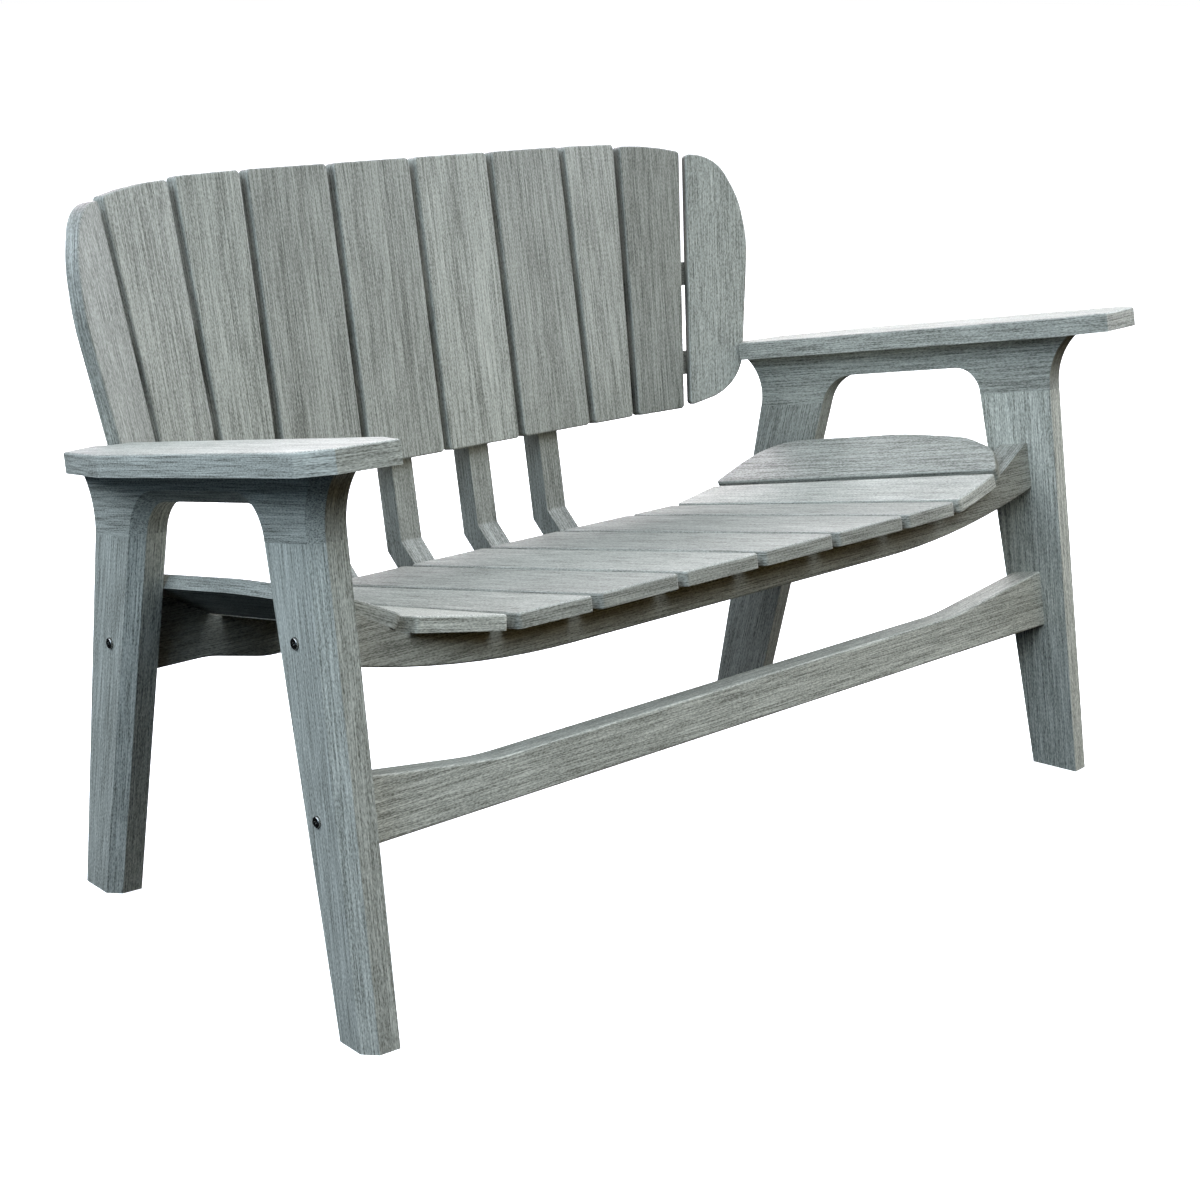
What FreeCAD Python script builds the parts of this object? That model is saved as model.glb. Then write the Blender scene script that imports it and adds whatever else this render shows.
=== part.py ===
import FreeCAD, Part
import math
import os
import Sketcher
from FreeCAD import Placement, Rotation, Vector

# Slatted loveseat in plastic lumber: two toed-in side frames with flat arms, three cross rails,
# and a bucket of ten seat slats and ten back slats, all leaning back by one angle.
# Millimetres and degrees. Lengths along and heights above the seat are taken square to that lean.
SIZES = {
    # Stance: lean of seat, back and arms, toe-in of the side frames, place of the front feet.
    "recline": 9.65,
    "toe": 5.18,
    "foot_front": -330.0,
    # Slats shared by seat and back: board width, gap, thickness, rounded edges and corners,
    # fan and fold angles.
    "slat_width": 141.3,
    "slat_gap": 12.2,
    "slat_thickness": 20.0,
    "slat_round": 3.0,
    "slat_corner": 6.5,
    "taper_fan": 3.0,
    "wing_fan": 3.6,
    "wing_tilt": 9.3,
    "edge_tilt": 20.1,
    # Seat: top of the middle slats, rear end, length, then the outer slats' widths and shorter lengths.
    "seat_top": 412.4,
    "seat_rear": 213.0,
    "seat_length": 560.0,
    "seat_taper_width": 90.4,
    "seat_taper_drop": 9.0,
    "seat_wing_width": 93.4,
    "seat_wing_drop_in": 10.0,
    "seat_wing_drop_out": 26.0,
    "seat_wing_crown": 1.5,
    "seat_fold_gap": 13.0,
    "seat_edge_width": 109.5,
    "seat_edge_drop": 29.5,
    "seat_edge_start": -4.0,
    "seat_heel_in": 1.0,
    "seat_heel_rise": 56.0,
    "seat_heel_round": 112.0,
    "seat_hip_down": 215.0,
    "seat_hip_round": 350.0,
    "seat_shoulder_in": 18.0,
    "seat_shoulder_down": 93.5,
    "seat_shoulder_round": 130.0,
    "seat_brow_in": 53.0,
    "seat_brow_down": 30.0,
    "seat_brow_round": 75.0,
    # Back: front face of the middle slats, lower end, length, then the outer slats as for the seat.
    "back_front": 271.4,
    "back_bottom": 560.0,
    "back_length": 440.5,
    "back_taper_width": 86.4,
    "back_taper_drop": 2.3,
    "back_wing_width": 93.3,
    "back_wing_drop_in": 5.2,
    "back_wing_drop_out": 15.8,
    "back_wing_crown": 3.0,
    "back_fold_gap": 10.5,
    "back_edge_width": 105.0,
    "back_edge_drop": 19.0,
    "back_edge_start": 8.5,
    "back_heel_in": 15.0,
    "back_heel_rise": 31.0,
    "back_heel_round": 85.0,
    "back_hip_down": 142.0,
    "back_hip_round": 220.0,
    "back_shoulder_in": 13.5,
    "back_shoulder_down": 72.0,
    "back_shoulder_round": 160.0,
    "back_brow_in": 53.5,
    "back_brow_down": 2.0,
    "back_brow_round": 68.0,
    # Side frames: clearance beside the outer seat slats, thickness, chamfer, legs and arch.
    "side_clearance": 1.0,
    "frame_thickness": 45.0,
    "frame_chamfer": 16.0,
    "leg_top": 609.5,
    "front_foot_width": 75.5,
    "front_top_setback": 83.7,
    "front_top_width": 123.8,
    "rear_foot_setback": 620.2,
    "rear_foot_width": 88.4,
    "rear_top_setback": 507.7,
    "rear_top_width": 126.5,
    "arch_height": 82.7,
    "arch_rise": 42.7,
    "arch_front_round": 41.0,
    "arch_rear_round": 64.0,
    "arch_front_lean": 1.4,
    "arch_rear_lean": 18.1,
    "front_flare": 42.0,
    "front_flare_start": 52.0,
    "front_flare_round": 95.0,
    "rear_flare": 19.6,
    "rear_waist": 16.4,
    "rear_waist_height": 46.9,
    "rear_flare_round": 74.0,
    # Arms: board size, clearance beside the outer back slats, then edges measured from the frame's
    # outer face and along the arch from the line of the front feet.
    "arm_thickness": 28.0,
    "arm_width": 140.0,
    "arm_clearance": 1.5,
    "arm_front": -28.7,
    "arm_overhang": 61.0,
    "arm_nose_out": 28.5,
    "arm_nose_in": 55.5,
    "arm_outer_clip": 34.5,
    "arm_inner_clip": 65.3,
    "arm_taper_start": 464.7,
    "arm_tail": 629.0,
    "arm_tail_out": 23.5,
    "arm_rear": 683.0,
    "arm_round": 3.0,
    # Cross rails: thickness, depths below the slats, shaped ends and the stretcher between the front legs.
    "rail_thickness": 45.0,
    "front_rail_setback": 47.5,
    "front_rail_depth": 42.5,
    "front_rail_end_rise": 52.6,
    "front_rail_flat": 300.0,
    "front_rail_bend": 189.2,
    "front_rail_slope": 13.6,
    "front_rail_round": 1500.0,
    "rear_rail_inset": 3.0,
    "rear_rail_depth": 52.5,
    "rear_rail_end_rise": 36.6,
    "rear_rail_flat": 452.0,
    "rear_rail_ramp": 92.0,
    "rear_rail_ramp_rise": 19.4,
    "rear_rail_round": 150.0,
    "stretcher_bottom": 179.0,
    "stretcher_height": 56.8,
    "stretcher_flat": 462.0,
    "stretcher_slope": 7.4,
    "stretcher_round": 420.0,
    "rail_edge_round": 3.0,
    # Back frame: four cranked uprights and two faceted rails that cross them in half laps.
    "upright_width": 40.0,
    "upright_depth": 36.0,
    "upright_knee": 436.5,
    "upright_rear_knee": 422.0,
    "upright_slope": 36.9,
    "upright_foot": 33.0,
    "upright_knee_round": 8.0,
    "upper_rail_height": 779.0,
    "lower_rail_height": 633.0,
    "back_rail_height": 38.0,
    "back_rail_end": 55.0,
    "back_rail_end_depth": 12.0,
    "back_rail_end_tilt": 16.0,
    "lap_clearance": 0.3,
    # Fixings: bolts with barrel nuts, dowels and two lengths of screw, with the clearance in their holes.
    "bolt_radius": 4.0,
    "bolt_head_radius": 7.0,
    "bolt_head_height": 4.0,
    "bolt_head_round": 1.2,
    "bolt_head_clearance": 0.5,
    "bolt_socket_width": 5.0,
    "bolt_socket_depth": 2.5,
    "bolt_seat_depth": 1.0,
    "bolt_forward": 4.8,
    "bolt_drop": 1.8,
    "bolt_reach": 60.0,
    "nut_inset": 50.0,
    "nut_radius": 7.0,
    "nut_end_gap": 5.0,
    "dowel_radius": 5.0,
    "dowel_half_length": 26.0,
    "dowel_spread": 27.0,
    "screw_radius": 2.5,
    "screw_head_radius": 4.5,
    "screw_head_height": 3.0,
    "screw_point": 5.0,
    "long_screw": 45.0,
    "short_screw": 28.0,
    "slat_bite": 12.0,
    "arm_bite": 18.0,
    "screw_spread": 45.0,
    "edge_screw_in": 20.0,
    "arm_screw_spread": 65.0,
    "foot_screw_spread": 11.5,
    "foot_screw_recess": 8.0,
    "fit_clearance": 0.15,
    "tip_clearance": 1.0,
}

doc = FreeCAD.newDocument("loveseat")
sheet = doc.addObject("Spreadsheet::Sheet", "Sheet")
rows = []


def hold(alias, value):
    rows.append(alias)
    sheet.set("A%d" % len(rows), alias)
    sheet.set("B%d" % len(rows), str(value))
    sheet.setAlias("B%d" % len(rows), alias)
    doc.recompute()


for alias, value in SIZES.items():
    hold(alias, value)


def size(alias):
    return float(sheet.get(alias))


def number(expression):
    result = sheet.evalExpression(expression)
    return float(getattr(result, "Value", result))


def sine(alias):
    return math.sin(math.radians(size(alias)))


def cosine(alias):
    return math.cos(math.radians(size(alias)))


def tangent(alias):
    return math.tan(math.radians(size(alias)))


# Working room past every edge for blanks that are trimmed later.
FAR = 2000.0
NEAR = 1e-4
OUTLINE_STEPS = 120
X_AXIS = Vector(1, 0, 0)
Y_AXIS = Vector(0, 1, 0)
Z_AXIS = Vector(0, 0, 1)


def turn(axis, angle, base=Vector(0, 0, 0)):
    return Placement(base, Rotation(axis, angle))


def check(made):
    doc.recompute()
    made.recompute()
    failed = "Invalid" in made.State or "Error" in made.State
    if failed or made.Shape.isNull() or not made.Shape.isValid():
        raise RuntimeError("%s did not build" % made.Label)
    return made


def body(name, placement):
    made = doc.addObject("PartDesign::Body", name)
    made.Placement = placement
    return made


def profile(owner, plane, corners):
    # A closed outline on one of the body's own planes, each corner held by its two distances.
    sketch = owner.newObject("Sketcher::SketchObject", owner.Name + "_outline")
    found = [item for item in owner.Origin.OriginFeatures if item.Role == plane]
    sketch.AttachmentSupport = [(found[0], "")]
    sketch.MapMode = "FlatFace"
    points = [Vector(number(across), number(along), 0) for across, along in corners]
    count = len(points)
    for index, point in enumerate(points):
        sketch.addGeometry(Part.LineSegment(point, points[(index + 1) % count]), False)
    for index in range(count):
        following = (index + 1) % count
        sketch.addConstraint(Sketcher.Constraint("Coincident", index, 2, following, 1))
    for index, corner in enumerate(corners):
        for kind, expression in zip(("DistanceX", "DistanceY"), corner):
            held = Sketcher.Constraint(kind, -1, 1, index, 1, number(expression))
            place = sketch.addConstraint(held)
            sketch.setExpression("Constraints[%d]" % place, expression)
    return sketch


def pad(owner, sketch, length, reverse=False):
    made = owner.newObject("PartDesign::Pad", owner.Name + "_pad")
    made.Profile = sketch
    made.setExpression("Length", length)
    made.Reversed = reverse
    sketch.Visibility = False
    check(owner)
    return made


def local_edges(feature, wanted):
    # Names of the feature's edges whose ends and middle pass the test, in the body's own axes.
    names = []
    for index, edge in enumerate(feature.Shape.Edges, start=1):
        middle = edge.valueAt((edge.FirstParameter + edge.LastParameter) / 2)
        points = [vertex.Point for vertex in edge.Vertexes] + [middle]
        if all(wanted(point) for point in points):
            names.append("Edge%d" % index)
    return names


def dress(owner, kind, names, field, expression):
    made = owner.newObject("PartDesign::" + kind, owner.Name + "_" + kind.lower())
    made.Base = (owner.Tip if owner.Tip != made else owner.Group[-2], names)
    made.setExpression(field, expression)
    check(owner)
    return made


def round_corner(owner, across, along, axes, expression):
    # Rounds the one straight edge that stands on an outline corner.
    place = (number(across), number(along))
    reach = 0.05

    def stands_there(point):
        values = [getattr(point, axis) for axis in axes]
        return abs(values[0] - place[0]) < reach and abs(values[1] - place[1]) < reach

    names = local_edges(owner.Tip, stands_there)
    return dress(owner, "Fillet", names, "Radius", expression)


def mirrored(source, name):
    made = doc.addObject("Part::Mirroring", name)
    made.Source = source
    made.Normal = X_AXIS
    return check(made)


def cut(base, tool, name):
    made = doc.addObject("Part::Cut", name)
    made.Base = base
    made.Tool = tool
    return check(made)


def common(shapes, name):
    made = doc.addObject("Part::MultiCommon", name)
    made.Shapes = shapes
    return check(made)


def block(name, placement, corner, lengths):
    made = doc.addObject("Part::Box", name)
    for field, value in zip(("Length", "Width", "Height"), lengths):
        if isinstance(value, str):
            made.setExpression(field, value)
        else:
            setattr(made, field, value)
    made.Placement = placement.multiply(Placement(corner, Rotation()))
    return check(made)


def feature(name, shape):
    made = doc.addObject("Part::Feature", name)
    made.Shape = shape
    return check(made)


def copies(shape, placements):
    made = []
    for placement in placements:
        piece = shape.copy()
        piece.Placement = placement.multiply(shape.Placement)
        made.append(piece)
    return Part.makeCompound(made)


nodes = {}

# Panels: one half of the seat and one half of the back, as middle, taper, wing and edge slats.
# Each slat's outline lies on its showing face; wing and edge slats fold up along fanned lines.
leaning = turn(X_AXIS, -size("recline"))
half_gap = "(Sheet.slat_gap / 2)"
middle_end = "(%s + 2 * (Sheet.slat_width + Sheet.slat_gap))" % half_gap
seat_panel = leaning.multiply(turn(Z_AXIS, 180, Vector(0, size("seat_rear"), size("seat_top"))))
back_panel = leaning.multiply(turn(X_AXIS, 90, Vector(0, size("back_front"), size("back_bottom"))))


def folded(panel, part):
    across = number("%s + Sheet.%s_taper_width + %s" % (middle_end, part, half_gap))
    fan = turn(Z_AXIS, -size("taper_fan"), Vector(across, 0, 0))
    wing = panel.multiply(fan).multiply(turn(Y_AXIS, -size("wing_tilt")))
    fold = (size("slat_gap") + size(part + "_fold_gap")) / 2
    step = Vector(fold + size(part + "_wing_width"), 0, 0)
    edge = wing.multiply(turn(Z_AXIS, -size("wing_fan"), step)).multiply(turn(Y_AXIS, -size("edge_tilt")))
    return wing, edge


def slat(name, placement, corners, rounds):
    made = body(name, placement)
    outline = profile(made, "XY_Plane", corners)
    pad(made, outline, "Sheet.slat_thickness", True)
    for spot in corners:
        radius = rounds.get(spot, "Sheet.slat_corner")
        if radius:
            round_corner(made, *spot, "xy", radius)

    def showing(point):
        return abs(point.z) < NEAR

    dress(made, "Fillet", local_edges(made.Tip, showing), "Radius", "Sheet.slat_round")
    return made


def half_panel(panel, part):
    own = "Sheet." + part + "_"
    length = own + "length"
    wing, edge = folded(panel, part)
    made = []
    for place in range(2):
        start = "(%s + %d * (Sheet.slat_width + Sheet.slat_gap))" % (half_gap, place)
        end = "(%s + Sheet.slat_width)" % start
        corners = [(start, "0"), (end, "0"), (end, length), (start, length)]
        made.append(slat("%s_middle_%d" % (part, place + 1), panel, corners, {}))

    taper_end = "(%s + %staper_width)" % (middle_end, own)
    taper_length = "(%s - %staper_drop)" % (length, own)
    corners = [
        (middle_end, "0"),
        (taper_end, "0"),
        ("%s + %s * tan(Sheet.taper_fan)" % (taper_end, taper_length), taper_length),
        (middle_end, length),
    ]
    made.append(slat(part + "_taper", panel, corners, {}))

    wing_end = "(%s + %swing_width)" % (half_gap, own)
    wing_length = "(%s - %swing_drop_out)" % (length, own)
    outer_tip = ("(%s + %s * tan(Sheet.wing_fan))" % (wing_end, wing_length), wing_length)
    inner_tip = (half_gap, "(%s - %swing_drop_in)" % (length, own))
    crowns = []
    for share in ("2 / 3", "1 / 3"):
        across = "%s + (%s - %s) * %s" % (inner_tip[0], outer_tip[0], inner_tip[0], share)
        along = "%s + (%s - %s) * %s" % (inner_tip[1], outer_tip[1], inner_tip[1], share)
        crowns.append((across, "%s + %swing_crown" % (along, own)))
    corners = [
        (half_gap, "%s * tan(Sheet.taper_fan)" % half_gap),
        (wing_end, "%s * tan(Sheet.taper_fan)" % wing_end),
        outer_tip,
        *crowns,
        inner_tip,
    ]
    made.append(slat(part + "_wing", wing, corners, dict.fromkeys(crowns)))

    inner_line = "(%sfold_gap / 2)" % own
    side_line = "(%s + %sedge_width)" % (inner_line, own)
    edge_length = "(%s - %sedge_drop)" % (length, own)
    heel = ("%s - %sheel_in" % (side_line, own), "%sedge_start + %sheel_rise" % (own, own))
    hip = (side_line, "%s - %ship_down" % (edge_length, own))
    shoulder = ("%s - %sshoulder_in" % (side_line, own), "%s - %sshoulder_down" % (edge_length, own))
    brow = ("%s - %sbrow_in" % (side_line, own), "%s - %sbrow_down" % (edge_length, own))
    corners = [(inner_line, own + "edge_start"), heel, hip, shoulder, brow, (inner_line, edge_length)]
    rounds = {
        heel: own + "heel_round",
        hip: own + "hip_round",
        shoulder: own + "shoulder_round",
        brow: own + "brow_round",
    }
    made.append(slat(part + "_edge", edge, corners, rounds))
    return made


seat_half = half_panel(seat_panel, "seat")
back_half = half_panel(back_panel, "back")


# Side frames stand clear of the outer seat slats, and the arms of the outer back slats.
# Their frames of reference are the upright right side and the leaning arch on top of it.
def outline_points(made):
    points = []
    for edge in made.Shape.Edges:
        points.extend(edge.discretize(Number=OUTLINE_STEPS))
    return points


def leg_edge(foot, setback, z):
    # How far back one edge of a leg stands at height z, from its foot and its place on the seam.
    top = size("leg_top") - setback * sine("recline")
    return foot + (setback * cosine("recline") - foot) * z / top


def side_reach(point):
    # Half width that a point beside a leg asks for; a point in the open between the legs asks nothing.
    along = (point.y - size("foot_front")) / cosine("toe")
    front = leg_edge(size("front_foot_width"), size("front_top_setback") + size("front_top_width"), point.z)
    rear = leg_edge(size("rear_foot_setback"), size("rear_top_setback"), point.z)
    if front + size("side_clearance") < along < rear - size("side_clearance"):
        return 0
    return abs(point.x) + (point.y - size("foot_front")) * tangent("toe")


widest = max(side_reach(point) for point in outline_points(seat_half[-1]))
hold("inner_half_width", widest + size("side_clearance"))
outer_half_width = size("inner_half_width") + size("frame_thickness") / cosine("toe")
corner = Vector(outer_half_width, size("foot_front"), 0)
side = turn(Z_AXIS, 90 + size("toe"), corner)
arch_frame = side.multiply(turn(Y_AXIS, size("recline"), Vector(0, 0, size("leg_top"))))
arm_inner = size("arm_width") - size("arm_overhang")
notch_inside = arm_inner
notch_front = size("arm_rear")
for point in outline_points(back_half[-1]):
    beside = arch_frame.inverse().multVec(point)
    level = beside.z - size("arch_height")
    if -size("arm_clearance") < level < size("arm_thickness") + size("arm_clearance"):
        if beside.y < arm_inner + size("arm_clearance"):
            notch_front = min(notch_front, beside.x - size("arm_clearance"))
            notch_inside = min(notch_inside, beside.y - size("arm_clearance"))
hold("notch_front", notch_front)
hold("notch_inside", notch_inside)


def in_side(y, z):
    # Where a point of the leaning frame meets the side frame's inner face, as (along, up).
    back = y * cosine("recline") + z * sine("recline")
    up = z * cosine("recline") - y * sine("recline")
    along = back - size("foot_front") + size("frame_thickness") * sine("toe")
    return along / cosine("toe"), up


# Legs: straight tapered boards cut off along the leaning seam under the arch.
# Both long edges of the outer face carry the broad chamfer.
def leg(name, foot, foot_width, setback, width):
    made = body(name, side)
    front = "Sheet.%s" % setback
    rear = "Sheet.%s + Sheet.%s" % (setback, width)
    toe_in = "Sheet.%s" % foot if foot else "0"
    corners = [
        (toe_in, "0"),
        (toe_in + " + Sheet.%s" % foot_width, "0"),
        ("(%s) * cos(Sheet.recline)" % rear, "Sheet.leg_top - (%s) * sin(Sheet.recline)" % rear),
        ("(%s) * cos(Sheet.recline)" % front, "Sheet.leg_top - (%s) * sin(Sheet.recline)" % front),
    ]
    outline = profile(made, "XZ_Plane", corners)
    pad(made, outline, "Sheet.frame_thickness", True)
    tall = size("leg_top") / 4

    def long_outer(point):
        return abs(point.y) < NEAR

    names = []
    for named in local_edges(made.Tip, long_outer):
        if made.Tip.Shape.getElement(named).BoundBox.ZLength > tall:
            names.append(named)
    dress(made, "Chamfer", names, "Size", "Sheet.frame_chamfer")
    return made


front_leg = leg("front_leg", None, "front_foot_width", "front_top_setback", "front_top_width")
rear_leg = leg("rear_leg", "rear_foot_setback", "rear_foot_width", "rear_top_setback", "rear_top_width")

# Arch: the flared head that joins both legs under the arm, hollowed by a rounded opening.
# It is drawn past the seams and the arm so its chamfer runs out cleanly, then trimmed to both.
arch_blank = body("arch_blank", arch_frame)
front_heel = "Sheet.front_top_setback"
front_inner = "(Sheet.front_top_setback + Sheet.front_top_width)"
rear_inner = "Sheet.rear_top_setback"
rear_heel = "(Sheet.rear_top_setback + Sheet.rear_top_width)"
waist = ("(%s - Sheet.rear_waist)" % rear_heel, "Sheet.rear_waist_height")
flare = (front_heel, "Sheet.front_flare_start")
front_crook = ("(%s + Sheet.arch_front_lean)" % front_inner, "Sheet.arch_rise")
rear_crook = ("(%s - Sheet.arch_rear_lean)" % rear_inner, "Sheet.arch_rise")
tall = "(2 * Sheet.arch_height)"
front_lean = "(Sheet.front_flare / (Sheet.arch_height - Sheet.front_flare_start))"
rear_lean = "((Sheet.rear_flare + Sheet.rear_waist) / (Sheet.arch_height - Sheet.rear_waist_height))"
front_peak = "%s - %s * (%s - Sheet.front_flare_start)" % (front_heel, front_lean, tall)
rear_peak = "%s + %s * (%s - Sheet.rear_waist_height)" % (waist[0], rear_lean, tall)
deep = "Sheet.arch_height"
inner_stub = "%s - Sheet.arch_front_lean / Sheet.arch_rise * %s" % (front_inner, deep)
outer_stub = "%s + Sheet.arch_rear_lean / Sheet.arch_rise * %s" % (rear_inner, deep)
heel_stub = "%s + Sheet.rear_waist / Sheet.rear_waist_height * %s" % (rear_heel, deep)
arch_outline = profile(arch_blank, "XZ_Plane", [
    (front_heel, "-" + deep),
    (inner_stub, "-" + deep),
    front_crook,
    rear_crook,
    (outer_stub, "-" + deep),
    (heel_stub, "-" + deep),
    waist,
    (rear_peak, tall),
    (front_peak, tall),
    flare,
])
pad(arch_blank, arch_outline, "Sheet.frame_thickness", True)
round_corner(arch_blank, *front_crook, "xz", "Sheet.arch_front_round")
round_corner(arch_blank, *rear_crook, "xz", "Sheet.arch_rear_round")
round_corner(arch_blank, *flare, "xz", "Sheet.front_flare_round")
round_corner(arch_blank, *waist, "xz", "Sheet.rear_flare_round")


def outer_arris(point):
    return abs(point.y) < NEAR


arrises = []
for named in local_edges(arch_blank.Tip, outer_arris):
    box = arch_blank.Tip.Shape.getElement(named).BoundBox
    if box.ZLength > NEAR or abs(box.ZMax - size("arch_rise")) < NEAR:
        arrises.append(named)
dress(arch_blank, "Chamfer", arrises, "Size", "Sheet.frame_chamfer")
arch_band = block("arch_band", arch_frame, Vector(-FAR, -FAR, 0), (2 * FAR, 2 * FAR, "Sheet.arch_height"))
arch = common([arch_blank, arch_band], "arch")

# Arm: a flat board on the arch with a blunt clipped nose, tapered and cut on the slant at the rear.
# Its inner rear corner is notched where the outer back slat passes.
arm = body("arm", arch_frame.multiply(Placement(Vector(0, 0, size("arch_height")), Rotation())))
arm_inner_edge = "Sheet.arm_width - Sheet.arm_overhang"
arm_corners = [
    ("Sheet.arm_front", "-Sheet.arm_nose_out"),
    ("Sheet.arm_front + Sheet.arm_outer_clip", "-Sheet.arm_overhang"),
    ("Sheet.arm_taper_start", "-Sheet.arm_overhang"),
    ("Sheet.arm_tail", "-Sheet.arm_tail_out"),
    ("Sheet.arm_rear", "Sheet.notch_inside"),
]
if notch_inside < arm_inner - NEAR:
    arm_corners.append(("Sheet.notch_front", "Sheet.notch_inside"))
    arm_corners.append(("Sheet.notch_front", arm_inner_edge))
arm_corners.append(("Sheet.arm_front + Sheet.arm_inner_clip", arm_inner_edge))
arm_corners.append(("Sheet.arm_front", "Sheet.arm_nose_in"))
arm_outline = profile(arm, "XY_Plane", arm_corners)
pad(arm, arm_outline, "Sheet.arm_thickness")


def arm_top(point):
    return abs(point.z - size("arm_thickness")) < NEAR


dress(arm, "Fillet", local_edges(arm.Tip, arm_top), "Radius", "Sheet.arm_round")


# Beds: everything on the showing side of a surface that runs a set depth below the slats' faces.
def bed(name, panel, part, depth, ends):
    wing, edge = folded(panel, part)
    facets = [("middle", panel, -depth), ("wing", wing, -depth), ("edge", edge, -depth)]
    if ends:
        end = Vector(size(part + "_fold_gap") / 2 + size("back_rail_end"), 0, 0)
        end.z = -size("slat_thickness") - size("back_rail_end_depth")
        facets.append(("end", edge.multiply(turn(Y_AXIS, -size("back_rail_end_tilt"), end)), 0))
    shapes = []
    for label, placement, low in facets:
        corner = Vector(-FAR, -FAR, low)
        space = block("%s_%s" % (name, label), placement, corner, (2 * FAR, 2 * FAR, FAR))
        shapes.append(space)
        if label != "middle":
            shapes.append(mirrored(space, "%s_%s_mirror" % (name, label)))
    return common(shapes, name)


seat_bed = bed("seat_bed", seat_panel, "seat", size("slat_thickness"), False)
back_bed = bed("back_bed", back_panel, "back", size("slat_thickness"), False)
rail_back = bed("rail_back", back_panel, "back", size("slat_thickness") + size("upright_depth"), True)

# Space between the side frames, which gives every cross rail its slanting ends.
between = body("between", Placement())
reach = "%f" % FAR
narrowing = "%s * tan(Sheet.toe)" % reach
between_outline = profile(between, "XY_Plane", [
    ("-Sheet.inner_half_width - %s" % narrowing, "Sheet.foot_front - %s" % reach),
    ("Sheet.inner_half_width + %s" % narrowing, "Sheet.foot_front - %s" % reach),
    ("Sheet.inner_half_width - %s" % narrowing, "Sheet.foot_front + %s" % reach),
    ("-Sheet.inner_half_width + %s" % narrowing, "Sheet.foot_front + %s" % reach),
])
pad(between, between_outline, reach)

# Front seat rail: faceted on top under the slats, its lower edge curving up towards the legs.
front_face = "(Sheet.seat_rear - Sheet.seat_length + Sheet.front_rail_setback)"
front_rail_front = number(front_face)
front_low = "(Sheet.seat_top - Sheet.slat_thickness - Sheet.front_rail_depth)"
front_bend = "(Sheet.front_rail_flat + Sheet.front_rail_bend)"
end_reach = "Sheet.inner_half_width"
front_end_low = "(%s + (%s - %s) * tan(Sheet.front_rail_slope))" % (front_low, end_reach, front_bend)
front_end_top = "(Sheet.seat_top + Sheet.front_rail_end_rise)"


def rail(name, face, right_corners, rounded, lower_end):
    # A rail blank, symmetrical about the middle, given by the right half of its front outline.
    # Its lower front edge is rounded; that edge rises no higher than the level of its ends.
    made = body(name + "_blank", leaning.multiply(Placement(Vector(0, face, 0), Rotation())))
    left = [("-(%s)" % across, up) for across, up in reversed(right_corners)]
    outline = profile(made, "XZ_Plane", right_corners + left)
    pad(made, outline, "Sheet.rail_thickness", True)
    for across, up, radius in rounded:
        round_corner(made, across, up, "xz", radius)
        round_corner(made, "-(%s)" % across, up, "xz", radius)

    def lower_arris(point):
        return abs(point.y) < NEAR and point.z < number(lower_end) + NEAR

    dress(made, "Fillet", local_edges(made.Tip, lower_arris), "Radius", "Sheet.rail_edge_round")
    return made


front_blank = rail("front_seat_rail", front_rail_front, [
    (front_bend, front_low),
    (end_reach, front_end_low),
    (end_reach, front_end_top),
], [(front_bend, front_low, "Sheet.front_rail_round")], front_end_low)
front_seated = cut(front_blank, seat_bed, "front_seated")
front_fitted = common([front_seated, between], "front_fitted")

# Rear seat rail: the same bed on top, with a lower edge stepped up in a soft ramp near each end.
rear_rail_rear = size("seat_rear") - size("rear_rail_inset")
rear_rail_front = rear_rail_rear - size("rail_thickness")
rear_low = "(Sheet.seat_top - Sheet.slat_thickness - Sheet.rear_rail_depth)"
rear_ramp_end = "(Sheet.rear_rail_flat + Sheet.rear_rail_ramp)"
rear_end_low = "(%s + Sheet.rear_rail_ramp_rise)" % rear_low
rear_end_top = "(Sheet.seat_top + Sheet.rear_rail_end_rise)"
rear_blank = rail("rear_seat_rail", rear_rail_front, [
    ("Sheet.rear_rail_flat", rear_low),
    (rear_ramp_end, rear_end_low),
    (end_reach, rear_end_low),
    (end_reach, rear_end_top),
], [
    ("Sheet.rear_rail_flat", rear_low, "Sheet.rear_rail_round"),
    (rear_ramp_end, rear_end_low, "Sheet.rear_rail_round"),
], rear_end_low)
rear_seated = cut(rear_blank, seat_bed, "rear_seated")
rear_fitted = common([rear_seated, between], "rear_fitted")

# Front stretcher: a low rail in line with the front seat rail, rising gently at both ends.
stretcher_top = "(Sheet.stretcher_bottom + Sheet.stretcher_height)"
stretcher_rise = "(%s - Sheet.stretcher_flat) * tan(Sheet.stretcher_slope)" % end_reach
stretcher_end = "(%s + %s)" % (stretcher_top, stretcher_rise)
stretcher_blank = rail("front_stretcher", front_rail_front, [
    (end_reach, "Sheet.stretcher_bottom"),
    (end_reach, stretcher_end),
    ("Sheet.stretcher_flat", stretcher_top),
], [("Sheet.stretcher_flat", stretcher_top, "Sheet.stretcher_round")], "Sheet.stretcher_bottom")


def stretcher_arris(point):
    low = size("stretcher_bottom") + size("stretcher_height") / 2
    return abs(point.y) < NEAR and point.z > low


dress(stretcher_blank, "Fillet", local_edges(stretcher_blank.Tip, stretcher_arris), "Radius",
      "Sheet.rail_edge_round")
stretcher_fitted = common([stretcher_blank, between], "stretcher_fitted")

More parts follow.
